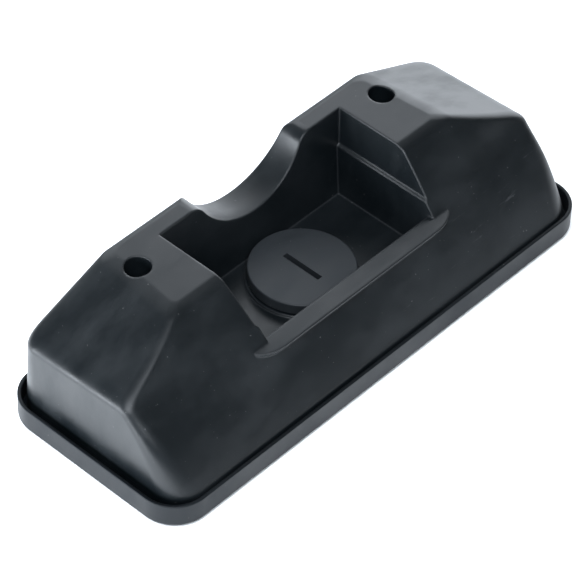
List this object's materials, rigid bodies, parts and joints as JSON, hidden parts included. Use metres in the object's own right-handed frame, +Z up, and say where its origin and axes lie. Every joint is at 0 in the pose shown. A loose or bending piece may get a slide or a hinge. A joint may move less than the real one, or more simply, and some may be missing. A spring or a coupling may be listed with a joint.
{
  "type": "pest bait station",
  "caption": "Low moulded bait station: shallow rimmed tray, sloped screwed-down housing with an open recess, a lip and a coin-slot filler cap over the bait.",
  "frame": {"origin": "centre of the resting face, under the anti-slip pads", "axes": "+X along the station to its right end seen from the lip side, +Y to the near-upright rear, +Z up"},
  "size_m": [0.24, 0.0934, 0.0588],
  "materials": {
    "tray_plastic": "satin moulded",
    "housing_plastic": "satin moulded",
    "cap_plastic": "fine grained",
    "seal_rubber": "smooth",
    "pad_rubber": "matt",
    "cup_plastic": "milky",
    "grain": "loose dyed grain",
    "bait_wax": "waxy pressed block",
    "screw_steel": "zinc plated",
    "rod_steel": "drawn",
    "insert_brass": "turned"
  },
  "bodies": {
    "base": {"base_tray": "tray_plastic", "bait_cup": "cup_plastic", "grain_bait": "grain", "threaded_insert_left": "insert_brass", "threaded_insert_right": "insert_brass", "bait_rod_left": "rod_steel", "bait_rod_right": "rod_steel", "bait_block_left": "bait_wax", "bait_block_right": "bait_wax", "anti_slip_pad_front_left": "pad_rubber", "anti_slip_pad_front_right": "pad_rubber", "anti_slip_pad_rear_left": "pad_rubber", "anti_slip_pad_rear_right": "pad_rubber"},
    "cover": {"housing": "housing_plastic"},
    "cap_seal": {"cap_o_ring": "seal_rubber"},
    "cap": {"filler_cap": "cap_plastic"},
    "washer_left": {"screw_washer_left": "seal_rubber"},
    "screw_left": {"fixing_screw_left": "screw_steel"},
    "washer_right": {"screw_washer_right": "seal_rubber"},
    "screw_right": {"fixing_screw_right": "screw_steel"}
  },
  "joints": [
    {"name": "housing_lift", "type": "slide", "parent": "base", "child": "cover", "axis": [0, 0, 1], "range_m": [0, 0.07]},
    {"name": "cap_lift", "type": "slide", "parent": "cover", "child": "cap_seal", "axis": [0, 0, 1], "range_m": [0, 0.03]},
    {"name": "cap_turn", "type": "hinge", "parent": "cap_seal", "child": "cap", "pos_m": [0, 0.00116, 0.02], "axis": [0, 0, 1], "range_deg": [0, 900]},
    {"name": "left_screw_lift", "type": "slide", "parent": "cover", "child": "washer_left", "axis": [0, 0, 1], "range_m": [0, 0.012]},
    {"name": "left_screw_turn", "type": "hinge", "parent": "washer_left", "child": "screw_left", "pos_m": [-0.0687, 0.0232, 0.018], "axis": [0, 0, 1], "range_deg": [0, 5400]},
    {"name": "right_screw_lift", "type": "slide", "parent": "cover", "child": "washer_right", "axis": [0, 0, 1], "range_m": [0, 0.012]},
    {"name": "right_screw_turn", "type": "hinge", "parent": "washer_right", "child": "screw_right", "pos_m": [0.0687, 0.0232, 0.018], "axis": [0, 0, 1], "range_deg": [0, 5400]}
  ],
  "couplings": [
    {"joint": "cap_turn", "follows": "cap_lift", "rad_per_m": 523.6},
    {"joint": "left_screw_turn", "follows": "left_screw_lift", "rad_per_m": 7854},
    {"joint": "right_screw_turn", "follows": "right_screw_lift", "rad_per_m": 7854}
  ]
}
